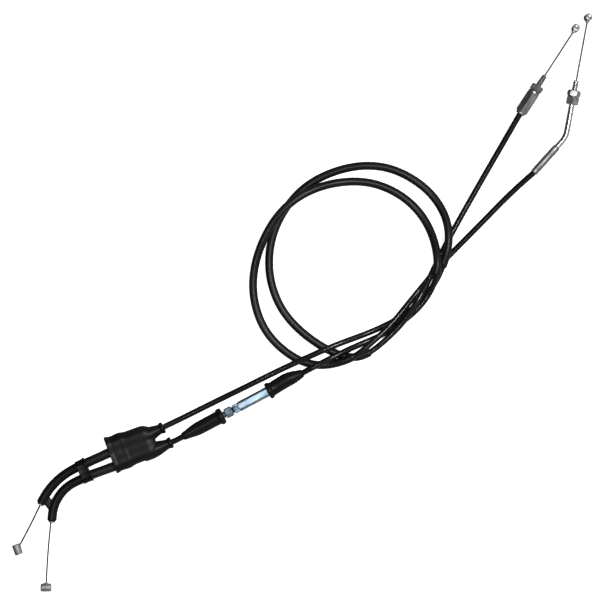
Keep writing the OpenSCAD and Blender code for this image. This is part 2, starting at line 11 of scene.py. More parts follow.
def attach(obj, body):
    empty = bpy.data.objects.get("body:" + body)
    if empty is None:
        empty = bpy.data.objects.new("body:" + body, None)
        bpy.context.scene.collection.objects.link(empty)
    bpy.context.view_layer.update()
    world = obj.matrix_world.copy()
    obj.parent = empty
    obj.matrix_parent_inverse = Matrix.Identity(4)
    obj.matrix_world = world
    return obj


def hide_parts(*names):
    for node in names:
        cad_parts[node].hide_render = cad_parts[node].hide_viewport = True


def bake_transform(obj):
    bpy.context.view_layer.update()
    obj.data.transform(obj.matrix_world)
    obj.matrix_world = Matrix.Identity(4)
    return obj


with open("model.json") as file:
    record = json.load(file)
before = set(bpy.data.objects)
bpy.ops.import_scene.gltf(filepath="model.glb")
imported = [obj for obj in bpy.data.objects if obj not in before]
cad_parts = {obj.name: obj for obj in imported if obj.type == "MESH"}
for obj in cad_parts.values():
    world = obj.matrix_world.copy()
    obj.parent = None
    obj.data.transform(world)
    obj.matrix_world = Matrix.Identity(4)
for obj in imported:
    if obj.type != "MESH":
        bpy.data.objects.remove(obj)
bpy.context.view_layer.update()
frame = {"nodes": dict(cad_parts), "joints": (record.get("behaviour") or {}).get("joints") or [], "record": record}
MM = 0.001
UP = Vector((0, 0, 1))
ROOT = "cable_set"
JOINTS = {j["name"]: j for j in frame["joints"]}
MOUNTS = {m["name"]: m for m in frame["record"]["mounts"]}


# ---- Axes taken from the frame ----------------------------------------------

class Axis:
    """A point and a level direction that pieces are built along, in millimetres."""

    def __init__(self, origin, direction):
        self.origin = Vector(origin)
        self.ahead = Vector(direction).normalized()
        self.left = UP.cross(self.ahead).normalized()
        self.up = self.ahead.cross(self.left)

    def at(self, along, left=0.0, up=0.0):
        return self.origin + MM * (along * self.ahead + left * self.left + up * self.up)

    def moved(self, along, left=0.0, turn=0.0):
        c, s = math.cos(math.radians(turn)), math.sin(math.radians(turn))
        return Axis(self.at(along, left), c * self.ahead + s * self.left)


def joint_axis(name, behind=0.0):
    joint = JOINTS[name]
    axis = Axis(joint["pos_m"], joint["axis"])
    return Axis(axis.at(-behind), joint["axis"])


def mount_axis(name, ahead=0.0):
    mount = MOUNTS[name]
    axis = Axis(mount["pos_m"], mount["axis"])
    return Axis(axis.at(ahead), mount["axis"])


LOCKNUT_TO_CRIMP = 25.7         # from the middle of the return locknut back to the crimped end
UPPER_NUT_TO_TIP = 11
MOUTH_AHEAD = {"pull": 3.5, "return": 3}    # from the middle of each mouth's pin to its rim
INLINE = joint_axis("inline_barrel_turn")
RETURN_END = joint_axis("return_locknut_turn", behind=LOCKNUT_TO_CRIMP)
TUBE_TIP = joint_axis("pull_upper_nut_turn", behind=-UPPER_NUT_TO_TIP)
PULL_MOUTH = mount_axis("pull_guide_mouth", ahead=MOUTH_AHEAD["pull"])
RETURN_MOUTH = mount_axis("return_guide_mouth", ahead=MOUTH_AHEAD["return"])
TUBE_BEND = (23.6, 18.0, -31.5, 16.2)      # straight, radius, angle, straight


# ---- Routes of the two free casings, in metres ------------------------------

def route(*points):
    return [Vector(p) * MM for p in points]


PULL_ROUTE = route(
    (-49, -33, 7.5), (-37.5, -36, 11.5), (-25, -39.5, 12.5), (-10, -44, 9.5),
    (1.5, -48, 6), (13.5, -52.5, 4.5), (26, -56.5, 4.5), (39.5, -59, 5.5),
    (52.5, -60, 7), (64.5, -59.5, 9), (77.5, -56.5, 11.5), (88, -51.5, 16),
    (97, -44, 17.5), (104.5, -34.5, 14), (112, -21, 6.5), (117, -2, 3.5),
    (115.5, 21, 3.5), (105, 45.5, 3.5), (87.5, 62.5, 4), (68, 74, 8.5),
    (47, 80, 12), (26, 80, 12), (3.5, 73.5, 8.5), (-18, 62, 3.5),
    (-35.5, 45.5, 3.5), (-47.5, 22.5, 3.5), (-50, 1, 3.5), (-46, -21, 3.5),
    (-38.5, -34.5, 3.5), (-28.5, -43.5, 5.5), (-17, -49.5, 10.5), (-5.5, -53.5, 12.5),
    (10.5, -54, 11.5), (25, -54.5, 10), (40, -53.5, 8.5), (56, -51, 6),
    (75, -48.5, 2.5), (101, -45, 2.5), (140, -44, 2.5), (182, -41.5, 3),
    (210, -42.4, 5.8))
PULL_LOOP = (11.2, 30.8)

RETURN_ROUTE = route(
    (-167, 14, 7.5), (-153, 9.5, 6.5), (-124, 1, 3.5), (-95, -8, 3.5),
    (-66, -16.5, 7.5), (-47.5, -22.5, 10), (-30, -28.5, 11), (-13, -34.5, 9.5),
    (1, -40.5, 6.5), (14, -46, 3), (28, -51, 2.5), (43.5, -55, 2.5),
    (57.5, -57, 2.5), (72, -56.5, 2.5), (86.5, -53.5, 6.5), (96, -49.5, 10),
    (106.5, -44, 11.5), (116.5, -37, 11.5), (125, -27.5, 9.5), (131.5, -15.5, 6.5),
    (135, 3.5, 3.5), (132, 24.5, 3.5), (123, 46.5, 3.5), (106, 64, 3.5),
    (85, 75.5, 3.5), (62.5, 82, 3.5), (40.5, 81, 3.5), (18, 74.5, 3.5),
    (-1.5, 61.5, 3.5), (-17, 43.5, 3.5), (-26.5, 20, 3.5), (-27.5, -3, 3.5),
    (-23.5, -25, 3.5), (-17, -43, 3.5), (-8.5, -54.5, 3.5), (3.5, -59.5, 4),
    (16.5, -60.5, 7), (29, -60.5, 9.5), (40, -60, 11.5), (52, -57.5, 12.5),
    (64, -54.5, 13.5), (76, -51, 11), (90, -45, 8), (102, -40.5, 5.5),
    (122.5, -33, 3.5), (160, -21, 2.5), (205, -7.3, 3), (235.4, 2.05, 5.8))
RETURN_LOOP = (15.2, 35.1)

CASING_R = 2.5 * MM
SLEEVE_R = 3.5 * MM


def spline(points, u):
    """A point of the uniform cubic B-spline that starts and ends on the route's ends."""
    last = len(points) - 1
    i = min(int(u), last - 1)
    t = u - i
    a = points[i - 1] if i > 0 else 2 * points[0] - points[1]
    b, c = points[i], points[i + 1]
    d = points[i + 2] if i + 2 <= last else 2 * points[last] - points[last - 1]
    return (a * (1 - t) ** 3 + b * (3 * t ** 3 - 6 * t * t + 4)
            + c * (-3 * t ** 3 + 3 * t * t + 3 * t + 1) + d * t ** 3) / 6


def stretch(points, start, end, step=1.6 * MM):
    """Points every step or so along part of a route."""
    dense = [spline(points, start + (end - start) * k / 2000) for k in range(2001)]
    run = np.concatenate([[0], np.cumsum([(b - a).length for a, b in zip(dense, dense[1:])])])
    count = max(2, round(run[-1] / step))
    coords = np.array(dense)
    places = np.linspace(0, run[-1], count + 1)
    return [Vector(np.interp(p, run, coords[:, k]) for k in range(3)) for p in places]


def length_of(points):
    return sum((b - a).length for a, b in zip(points, points[1:]))


# ---- Materials --------------------------------------------------------------

class Shader:
    """A small helper that builds one procedural material."""

    def __init__(self, name, roughness, metallic=0.0, specular=0.5):
        self.material = bpy.data.materials.new(name)
        self.material.use_nodes = True
        self.tree = self.material.node_tree
        self.surface = self.tree.nodes["Principled BSDF"]
        self.surface.inputs["Roughness"].default_value = roughness
        self.surface.inputs["Metallic"].default_value = metallic
        self.surface.inputs["Specular IOR Level"].default_value = specular
        self.place = self.node("ShaderNodeTexCoord").outputs["Object"]
        self.height = None

    def node(self, kind, **settings):
        made = self.tree.nodes.new(kind)
        for key, value in settings.items():
            setattr(made, key, value)
        return made

    def link(self, source, target):
        self.tree.links.new(source, target)

    def noise(self, scale, detail=3.0, squash=None):
        """Noise in cycles to the metre; squash stretches it along an axis."""
        texture = self.node("ShaderNodeTexNoise")
        texture.inputs["Scale"].default_value = scale
        texture.inputs["Detail"].default_value = detail
        source = self.place
        if squash:
            mapping = self.node("ShaderNodeMapping")
            mapping.inputs["Rotation"].default_value = (0, 0, -squash[0])
            mapping.inputs["Scale"].default_value = squash[1:]
            self.link(source, mapping.inputs["Vector"])
            source = mapping.outputs["Vector"]
        self.link(source, texture.inputs["Vector"])
        return texture.outputs["Fac"]

    def ramp(self, factor, stops):
        """stops is a list of (place, colour)."""
        ramp = self.node("ShaderNodeValToRGB")
        elements = ramp.color_ramp.elements
        while len(elements) < len(stops):
            elements.new(0.5)
        for element, (place, colour) in zip(elements, stops):
            element.position = place
            element.color = (*colour, 1) if len(colour) == 3 else colour
        self.link(factor, ramp.inputs["Fac"])
        return ramp.outputs["Color"]

    def colour(self, output):
        self.link(output, self.surface.inputs["Base Color"])

    def roughness(self, factor, low, high):
        spread = self.node("ShaderNodeMapRange")
        spread.inputs["To Min"].default_value = low
        spread.inputs["To Max"].default_value = high
        self.link(factor, spread.inputs["Value"])
        self.link(spread.outputs["Result"], self.surface.inputs["Roughness"])

    def bump(self, factor, depth):
        """Adds relief of a depth in metres."""
        relief = self.node("ShaderNodeBump")
        relief.inputs["Strength"].default_value = 1.0
        relief.inputs["Distance"].default_value = depth
        self.link(factor, relief.inputs["Height"])
        if self.height:
            self.link(self.height, relief.inputs["Normal"])
        self.height = relief.outputs["Normal"]
        self.link(self.height, self.surface.inputs["Normal"])


def plastic(name, dark, light, roughness, grain=2600.0, relief=0.00003, specular=0.17):
    """Black extruded or moulded plastic: fine grain, faint scuffs, slow colour change."""
    s = Shader(name, roughness[0], specular=specular)
    cloud = s.noise(38)
    scuff = s.noise(420, 6.0)
    s.colour(s.ramp(cloud, [(0.35, dark), (0.7, light)]))
    s.roughness(scuff, *roughness)
    s.bump(s.noise(grain, 2.0), relief)
    s.bump(s.noise(260, 2.0), relief * 2)
    return s.material


def metal(name, dark, light, roughness, heading=0.0, grain=900.0, relief=0.00001, brushed=True):
    """Plated steel: streaks along the piece, cloudy plating and small pits."""
    s = Shader(name, roughness[0], metallic=1.0)
    streak = s.noise(grain, 4.0, (heading, 0.08, 1.0, 1.0) if brushed else None)
    cloud = s.noise(160, 3.0)
    mix = s.node("ShaderNodeMix", data_type="FLOAT")
    mix.inputs["Factor"].default_value = 0.4
    s.link(streak, mix.inputs["A"])
    s.link(cloud, mix.inputs["B"])
    s.colour(s.ramp(mix.outputs["Result"], [(0.36, dark), (0.64, light)]))
    s.roughness(streak, *roughness)
    s.bump(streak, relief)
    return s.material


def grey(value, tint=0.0):
    """A grey; a positive tint takes red out of it and a negative one takes blue out."""
    return (value * (1 - max(tint, 0)), value * (1 - max(tint, 0) / 2), value * (1 + min(tint, 0)))


def heading_of(axis):
    return math.atan2(axis.ahead.y, axis.ahead.x)


CASING = plastic("casing_vinyl", grey(0.002), grey(0.006), (0.15, 0.23), specular=0.22)
SLEEVE = plastic("sleeve_vinyl", grey(0.003), grey(0.008), (0.28, 0.4), 1800.0)
RUBBER = plastic("boot_rubber", grey(0.003), grey(0.007), (0.3, 0.44), 1500.0, 0.000012, 0.1)
MOULDED = plastic("moulded_cover", grey(0.002), grey(0.006), (0.26, 0.38), 1900.0, 0.00001, 0.1)
TUBE_RUBBER = plastic("pipe_sleeve_rubber", grey(0.004), grey(0.01), (0.32, 0.46), 1700.0)
ZINC_BRIGHT = metal("bright_zinc", (0.09, 0.14, 0.19), (0.34, 0.43, 0.52), (0.38, 0.54),
                    heading_of(INLINE), 420.0)
ZINC_BLUE = metal("blue_zinc", grey(0.12, 0.4), grey(0.4, 0.25), (0.22, 0.4), heading_of(INLINE))
STEEL_RETURN = metal("grey_zinc", grey(0.19, 0.03), grey(0.38, 0.02), (0.28, 0.42),
                     heading_of(RETURN_END))
STEEL_STUD = metal("stud_zinc", grey(0.5, 0.05), grey(0.85, 0.03), (0.14, 0.26),
                   heading_of(RETURN_END))
STEEL_TUBE = metal("tube_plating", grey(0.45, 0.03), grey(0.62, 0.02), (0.16, 0.24),
                   heading_of(TUBE_TIP), relief=0.000002)
FERRULE_STEEL = metal("ferrule_plating", grey(0.18, 0.02), grey(0.3, 0.02), (0.42, 0.56),
                      heading_of(TUBE_TIP.moved(0, 0, TUBE_BEND[2])), relief=0.000004)
NUT_STEEL = metal("nut_plating", grey(0.24, 0.08), grey(0.56, 0.06), (0.24, 0.38),
                  heading_of(TUBE_TIP))
PIPE_STEEL = metal("pipe_steel", grey(0.06), grey(0.14), (0.3, 0.45))
NIPPLE = metal("cast_zinc", grey(0.2, 0.02), grey(0.38, 0.02), (0.5, 0.68),
               grain=700.0, relief=0.00005, brushed=False)
CARB_NIPPLE = metal("bright_cast_zinc", grey(0.3, 0.02), grey(0.66, 0.02), (0.28, 0.46),
                    grain=600.0, relief=0.00006, brushed=False)
SOLDER = metal("solder", grey(0.5), grey(0.75), (0.25, 0.4), grain=500.0, relief=0.00004,
               brushed=False)
WIRE = metal("wire_strands", grey(0.012), grey(0.08), (0.26, 0.42), grain=2500.0, brushed=False)
# Near-black material for the disc set in each pipe bore: painted shade for the dark hole.
BORE_SHADE = plastic("painted_bore_shade", grey(0.002), grey(0.006), (0.6, 0.8))


# ---- Mesh building ----------------------------------------------------------

def finish_piece(obj, body, material, replaced=(), sharp=38.0):
    """Gives a new piece its finish, smooths it except at sharp edges, and makes it ride."""
    if material:
        obj.data.materials.clear()
        obj.data.materials.append(material)
    mesh = bmesh.new()
    mesh.from_mesh(obj.data)
    bmesh.ops.recalc_face_normals(mesh, faces=mesh.faces)
    limit = math.radians(sharp)
    for edge in mesh.edges:
        flat = len(edge.link_faces) == 2 and edge.calc_face_angle(0) <= limit
        edge.smooth = flat
    for face in mesh.faces:
        face.smooth = True
    mesh.to_mesh(obj.data)
    mesh.free()
    if replaced:
        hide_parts(*replaced)
    if body:
        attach(obj, body)
    return obj


def new_object(name, vertices, faces):
    mesh = bpy.data.meshes.new(name)
    mesh.from_pydata([tuple(v) for v in vertices], [], faces)
    mesh.update()
    obj = bpy.data.objects.new(name, mesh)
    bpy.context.scene.collection.objects.link(obj)
    return obj


def loft(name, rings, closed_ends=True):
    """Skins a list of rings with the same number of points."""
    count = len(rings[0])
    vertices = [p for ring in rings for p in ring]
    faces = []
    for i in range(len(rings) - 1):
        for k in range(count):
            a, b = i * count + k, i * count + (k + 1) % count
            faces.append((a, b, b + count, a + count))
    if closed_ends:
        faces.append(tuple(range(count - 1, -1, -1)))
        faces.append(tuple((len(rings) - 1) * count + k for k in range(count)))
    return new_object(name, vertices, faces)


def hollow(name, outer, inner):
    """Skins an outer list of rings and an inner one, both given from the same end."""
    return loft(name, [*outer, *reversed(inner), outer[0]], closed_ends=False)


def circle(axis, along, radius, sides=40):
    return [axis.at(along, radius * math.cos(a), radius * math.sin(a))
            for a in (2 * math.pi * k / sides for k in range(sides))]


def lathe(name, axis, profile, sides=40):
    """Turns a closed outline of (distance along the axis, radius) round the axis."""
    return loft(name, [circle(axis, x, max(r, 0.01), sides) for x, r in profile])


def tube_frames(points):
    """Each point with its side and up directions."""
    made = []
    for i, p in enumerate(points):
        ahead = (points[min(i + 1, len(points) - 1)] - points[max(i - 1, 0)]).normalized()
        side = ahead.cross(UP).normalized()
        made.append((p, side, side.cross(ahead)))
    return made


def tube(name, points, radius, sides=20, bore=None):
    """A round bar or tube; radius is a number or a function of the share of the way."""
    frames = tube_frames(points)

    def ring(frame_at, r):
        p, side, up = frame_at
        return [p + r * (math.cos(a) * side + math.sin(a) * up)
                for a in (2 * math.pi * k / sides for k in range(sides))]

    rings = [ring(at, radius(i / (len(points) - 1)) if callable(radius) else radius)
             for i, at in enumerate(frames)]
    if bore:
        return hollow(name, rings, [ring(at, bore) for at in frames])
    return loft(name, rings)


def soft_ends(length, bevel):
    """A radius factor for tube(): its ends are rounded over bevel."""
    def factor(share):
        edge = min(share, 1 - share) * length
        return 1.0 if edge >= bevel else 1 - 0.25 * (1 - edge / bevel) ** 2
    return factor


def joined(name, objects):
    """One object from several."""
    mesh = bmesh.new()
    materials = []
    for obj in objects:
        part = bmesh.new()
        part.from_mesh(obj.data)
        offset = len(materials)
        materials += list(obj.data.materials)
        for face in part.faces:
            face.material_index += offset
        temporary = bpy.data.meshes.new("part")
        part.to_mesh(temporary)
        mesh.from_mesh(temporary)
        part.free()
        bpy.data.meshes.remove(temporary)
    target = objects[0]
    mesh.to_mesh(target.data)
    mesh.free()
    target.data.materials.clear()
    for material in materials:
        target.data.materials.append(material)
    for obj in objects[1:]:
        bpy.data.objects.remove(obj)
    target.name = name
    return target


def blended(name, objects, voxel, rounds):
    """Fuses closed shapes into one skin and softens the creases between them."""
    whole = joined(name, objects)
    remesh = whole.modifiers.new("fuse", "REMESH")
    remesh.mode = "VOXEL"
    remesh.voxel_size = voxel
    smooth = whole.modifiers.new("soften", "SMOOTH")
    smooth.factor = 0.5
    smooth.iterations = rounds
    graph = bpy.context.evaluated_depsgraph_get()
    mesh = bpy.data.meshes.new_from_object(whole.evaluated_get(graph))
    whole.modifiers.clear()
    whole.data = mesh
    return whole


def hex_bar(name, axis, start, end, across_flats, chamfer, turn=0.0, bore=None):
    """A hexagonal bar with turned chamfers, a corner at turn degrees from the top, maybe bored."""
    corner = across_flats / math.sqrt(3)
    flat = across_flats / 2
    per_side = 10

    def outline(along, limit):
        ring = []
        for k in range(6 * per_side):
            angle = math.radians(turn + 90) + 2 * math.pi * k / (6 * per_side)
            within = (angle - math.radians(turn + 90)) % (math.pi / 3) - math.pi / 6
            reach = min(flat / math.cos(within), limit)
            ring.append(axis.at(along, reach * math.cos(angle), reach * math.sin(angle)))
        return ring

    steps = 5
    rings = []
    for i in range(steps + 1):
        share = i / steps
        rings.append(outline(start + chamfer * share, corner - (corner - flat + 0.15) * (1 - share)))
    for i in range(steps, -1, -1):
        share = i / steps
        rings.append(outline(end - chamfer * share, corner - (corner - flat + 0.15) * (1 - share)))
    if bore:
        inner = [[axis.at(x, bore * math.cos(a), bore * math.sin(a))
                  for a in (math.radians(turn + 90) + 2 * math.pi * k / (6 * per_side)
                            for k in range(6 * per_side))] for x in (end, start)]
        rings = rings + inner + [rings[0]]
        return loft(name, rings, closed_ends=False)
    return loft(name, rings)


def thread(name, axis, start, end, radius, pitch, sides=32, taper=0.0, bore=None):
    """A single-start V thread that fades out at both ends, and may taper and be bored."""
    depth = 0.54 * pitch
    step = pitch / 8
    rings = [circle(axis, start, radius - depth, sides)]
    count = int((end - start) / step)
    for i in range(count + 1):
        along = start + (end - start) * i / count
        fade = min(1.0, (along - start) / pitch, (end - along) / pitch)
        ring = []
        for k in range(sides):
            angle = 2 * math.pi * k / sides
            phase = (along / pitch - k / sides) % 1.0
            cut = depth * (1 - abs(2 * phase - 1)) * (0.35 + 0.65 * fade)
            r = radius - cut - (1 - fade) * 0.25 - taper * (along - start) / (end - start)
            ring.append(axis.at(along, r * math.cos(angle), r * math.sin(angle)))
        rings.append(ring)
    if bore:
        return hollow(name, rings, [circle(axis, x, bore, sides) for x in (start, end)])
    return loft(name, rings)


def arc_points(axis, first, radius, angle, last, count=26):
    """Points along a straight, an arc turning left (or right if the angle is negative), a straight."""
    sign = 1 if angle >= 0 else -1
    points = [axis.at(first * k / 4) for k in range(5)] if first else [axis.at(0)]
    for k in range(1, count + 1):
        a = math.radians(abs(angle)) * k / count
        points.append(axis.at(first + radius * math.sin(a), sign * radius * (1 - math.cos(a))))
    a = math.radians(abs(angle))
    out = axis.moved(first + radius * math.sin(a), sign * radius * (1 - math.cos(a)), angle)
    return points + [out.at(last * k / 6) for k in range(1, 7)]


# ---- Camera and free casings ------------------------------------------------

VIEW_CENTRE = Vector((-0.009, 0.014, 0))
VIEW_HEIGHT = 5.0
VIEW_WIDTH = 0.51
VIEW_TURN = math.radians(-43)


def camera():
    data = bpy.data.cameras.new("camera")
    data.sensor_width = 36
    data.lens = data.sensor_width * (VIEW_HEIGHT - 0.007) / VIEW_WIDTH
    data.clip_end = 20
    obj = bpy.data.objects.new("camera", data)
    obj.location = VIEW_CENTRE + VIEW_HEIGHT * UP
    obj.rotation_euler = (0, 0, VIEW_TURN)
    bpy.context.scene.collection.objects.link(obj)
    bpy.context.scene.camera = obj


def free_casing(side, points, loop):
    """One continuous casing and the thicker sleeve over its loop."""
    last = len(points) - 1
    centre = stretch(points, 0, last)
    casing = tube(f"{side}_casing", centre, CASING_R)
    finish_piece(casing, ROOT, CASING,
                 [f"{side}_casing_front", f"{side}_casing_rear"])
    over = stretch(points, *loop)
    over_length = length_of(over)
    factor = soft_ends(over_length, 1.2 * MM)
    sleeve = tube(f"{side}_sleeve", over, lambda share: SLEEVE_R * factor(share), 24)
    finish_piece(sleeve, ROOT, SLEEVE, [f"{side}_loop_sleeve"])


camera()
free_casing("pull", PULL_ROUTE, PULL_LOOP)
free_casing("return", RETURN_ROUTE, RETURN_LOOP)


# ---- Grip end: elbows, collar, sleeves and the twin boot ---------------------

PULL_BEND = (6.0, 35.0, -60.0, 10.0)      # straight, radius, angle, straight, from the mouth back
RETURN_BEND = (4.0, 62.0, -38.0, 4.6)
PIPE_PROUD = 1.0
COLLAR_HALF = 4.5
COVER_R = 4 * MM
GRIP_Z = PULL_MOUTH.origin.z


def grip_axis(x, y, heading):
    """A level axis at the height of the elbows, from a place in millimetres and a heading."""
    return Axis((x * MM, y * MM, GRIP_Z),
                (math.cos(math.radians(heading)), math.sin(math.radians(heading)), 0))


WEB = grip_axis(-283.6, 26.4, 84)


def reversed_axis(axis):
    return Axis(axis.origin, -axis.ahead)


def cover_points(mouth, bend):
    """The centreline of one elbow's cover, from just inside its mouth to the collar."""
    back = reversed_axis(mouth).moved(PIPE_PROUD)
    return arc_points(back, bend[0] - PIPE_PROUD, bend[1], bend[2],
                      max(bend[3] - COLLAR_HALF + 1, 0.5))


def stadium(axis, along, half_width, half_height, waist=0.0, sides=20, across_steps=12):
    """A ring with round sides; a waist dips its flat top and bottom in the middle."""
    shift = half_width - half_height
    ring = []
    for side in (1, -1):
        for k in range(sides + 1):
            angle = math.pi * (k / sides - 0.5)
            ring.append(axis.at(along, side * (shift + half_height * math.cos(angle)),
                                side * half_height * math.sin(angle)))
        for k in range(1, across_steps):
            place = 1 - 2 * k / across_steps
            dip = waist * math.cos(math.pi / 2 * place) ** 2
            ring.append(axis.at(along, side * shift * place, side * (half_height - dip)))
    return ring


def collar_axis():
    starts = [arc_points(reversed_axis(m), *b)[-1]
              for m, b in ((PULL_MOUTH, PULL_BEND), (RETURN_MOUTH, RETURN_BEND))]
    across = starts[0] - starts[1]
    return Axis((starts[0] + starts[1]) / 2, UP.cross(across))


def guide_cover():
    tubes = []
    for mouth, bend in ((PULL_MOUTH, PULL_BEND), (RETURN_MOUTH, RETURN_BEND)):
        points = cover_points(mouth, bend)
        length = length_of(points)
        factor = soft_ends(length, 0.8 * MM)
        tubes.append(tube("cover", points, lambda share: COVER_R * factor(share), 32))
    tubes.append(loft("web", [stadium(WEB, x, 3.6, 2.3) for x in (0, 4, 8, 12)]))
    cover = blended("elbow_cover", tubes, 0.32 * MM, 5)
    finish_piece(cover, ROOT, MOULDED, ["guide_cover"], 70)


def pipe_mouths():
    """Bright rolled rims of the steel pipes, with a near-black disc set in each bore as painted shade."""
    for name, mouth in (("pull", PULL_MOUTH), ("return", RETURN_MOUTH)):
        rim = lathe(f"{name}_pipe_rim", mouth,
                    [(-2, 2.7), (-0.4, 2.7), (-0.1, 2.55), (0, 2.3), (0, 1.85),
                     (-0.25, 1.65), (-3, 1.6)])
        finish_piece(rim, ROOT, PIPE_STEEL)
        # A near-black disc a little inside the pipe: painted shade for its dark bore.
        hole = lathe(f"{name}_pipe_bore_shade", mouth, [(-3.2, 1.62), (-3.1, 1.62)])
        finish_piece(hole, ROOT, BORE_SHADE)


def guide_collar():
    axis = collar_axis()
    outline = [(-4.5, 9.9, 4.85), (-4.3, 10.2, 5.15), (-3.9, 10.3, 5.25), (2.4, 10.3, 5.25),
               (2.8, 10.5, 5.45), (3.1, 10.95, 5.85), (3.5, 11.1, 6.0), (4.0, 11.0, 5.9),
               (4.35, 10.6, 5.5), (4.5, 10.1, 5.0)]
    collar = loft("elbow_collar", [stadium(axis, x, w, h, -0.35) for x, w, h in outline])
    finish_piece(collar, ROOT, MOULDED, ["guide_collar"], 50)


BOOT = grip_axis(-216.5, 27, -22)
UPPER_NECK = grip_axis(-167.2, 13.9, -16.5)
LOWER_NECK = grip_axis(-170.81, -0.11, -19)


def twin_boot():
    cavity = [(30, 12.5, 4.2), (28, 13.6, 5.1), (14, 13.8, 5.4), (3, 14.2, 5.7), (-0.6, 14.9, 6.0)]
    outside = [(-1, 15.6, 6.7), (-0.7, 16.2, 7.2), (0.2, 16.5, 7.4), (1.6, 16.4, 7.35),
               (2.6, 15.9, 7.0), (3.6, 15.5, 6.8), (7, 15.6, 6.9), (10.5, 16.0, 7.2),
               (13, 15.9, 7.2), (15.5, 15.2, 6.9), (18, 14.8, 6.9), (26, 14.7, 7.0),
               (32, 14.5, 7.0), (35, 13.6, 6.6), (38, 11.6, 5.6), (40, 9.2, 4.4)]
    shell = loft("boot", [stadium(BOOT, x, w, h, 0.0 if x < 0 else 0.09 * h)
                          for x, w, h in cavity + outside])
    neck = [(-27, 6.4), (-20, 6.9), (-15, 6.6), (-11, 5.9), (-7, 4.9), (-4.2, 4.1), (-3.4, 4.2),
            (-2.9, 4.8), (-2.2, 5.15), (-1.2, 5.2), (-0.5, 4.9), (-0.1, 4.2), (0, 3.3)]
    boot = blended("two_way_boot",
                   [shell, lathe("neck", UPPER_NECK, neck), lathe("neck", LOWER_NECK, neck)],
                   0.42 * MM, 12)
    finish_piece(boot, ROOT, RUBBER, ["twin_boot"], 75)


# ---- In-line adjuster --------------------------------------------------------

def bowed_circle(axis, along, radius, start, end, bow, sides=48):
    """A ring whose centre is pushed to the left between start and end."""
    share = min(max((along - start) / (end - start), 0), 1)
    side = bow * math.sin(math.pi * share) ** 2
    return circle(axis.moved(0, side), along, radius, sides)


def in_line_boots():
    grip = [(-66, 3.0), (-65.6, 3.4), (-63, 3.75), (-59, 4.5), (-55, 5.3), (-51, 5.75), (-42, 5.85),
            (-33, 5.8), (-31.9, 5.9), (-31.3, 6.7), (-30.6, 7.15), (-29.4, 7.3), (-28.2, 7.2),
            (-27.3, 6.7), (-27, 5.9), (-27, 5.2), (-28, 5.0), (-52, 4.6), (-58, 3.4), (-65.5, 2.7)]
    carb = [(15.5, 5.2), (15.5, 6.0), (15.8, 6.8), (16.5, 7.25), (17.6, 7.35), (18.6, 7.1),
            (19.3, 6.4), (20.2, 6.05), (26, 6.05), (33, 6.1), (38, 5.9), (41, 5.4), (44, 4.7),
            (47, 3.9), (49, 3.4), (49.5, 3.0), (49.4, 2.7), (44, 2.9), (41.5, 3.6), (39, 4.9),
            (37, 5.35), (30, 5.45), (22, 5.4), (16.5, 5.2)]
    for name, body, outline, bow in (("grip_side_boot", "grip_boot", grip, 0.0),
                                     ("carb_side_boot", "carb_boot", carb, 1.05)):
        ends = (17, 49.5) if bow else (-66, -27)
        rings = [bowed_circle(INLINE, x, r, *ends, bow) for x, r in outline]
        boot = loft(f"rubber_{name}", rings + [rings[0]], closed_ends=False)
        finish_piece(boot, body, RUBBER, [name], 60)


def in_line_metal():
    screw = joined("in_line_screw", [
        lathe("shank", INLINE, [(-45, 2.6), (-44.6, 3), (-27.5, 3), (-27, 2.6)]),
        thread("thread", INLINE, -28, -10, 3.0, 1.0)])
    finish_piece(screw, ROOT, ZINC_BRIGHT, ["inline_screw"], 30)
    nut = hex_bar("in_line_locknut", INLINE, -24.8, -18.5, 8, 0.7, turn=14, bore=3.05)
    finish_piece(nut, "inline_nut", ZINC_BRIGHT, ["inline_locknut"], 25)
    serration = []
    for x, r in ((-17, 3.5), (-16.7, 4.0), (-13.0, 4.0), (-12.2, 3.6)):
        ring = []
        for k in range(144):
            angle = 2 * math.pi * k / 144
            notch = 0.16 if k % 3 == 0 else 0.0
            ring.append(INLINE.at(x, (r - notch) * math.cos(angle), (r - notch) * math.sin(angle)))
        serration.append(ring)
    knurl = loft("knurl", serration)
    knurl.data.materials.append(ZINC_BLUE)
    bar = hex_bar("bar", INLINE, -12.4, 22, 7.5, 0.9, turn=26)
    bar.data.materials.append(ZINC_BRIGHT)
    barrel = joined("in_line_barrel", [bar, knurl])
    finish_piece(barrel, "barrel", None, ["inline_barrel"], 25)


# ---- Carburettor end ---------------------------------------------------------

WIRE_HOLE = 1.3
STUD_TIP = 38.6         # from the crimped end of the return casing
TUBE_THREAD = 20        # length of the thread at the tube's tip
TUBE_R = 2.45 * MM
FINE_PITCH = 0.8
HEX = 10                # across flats


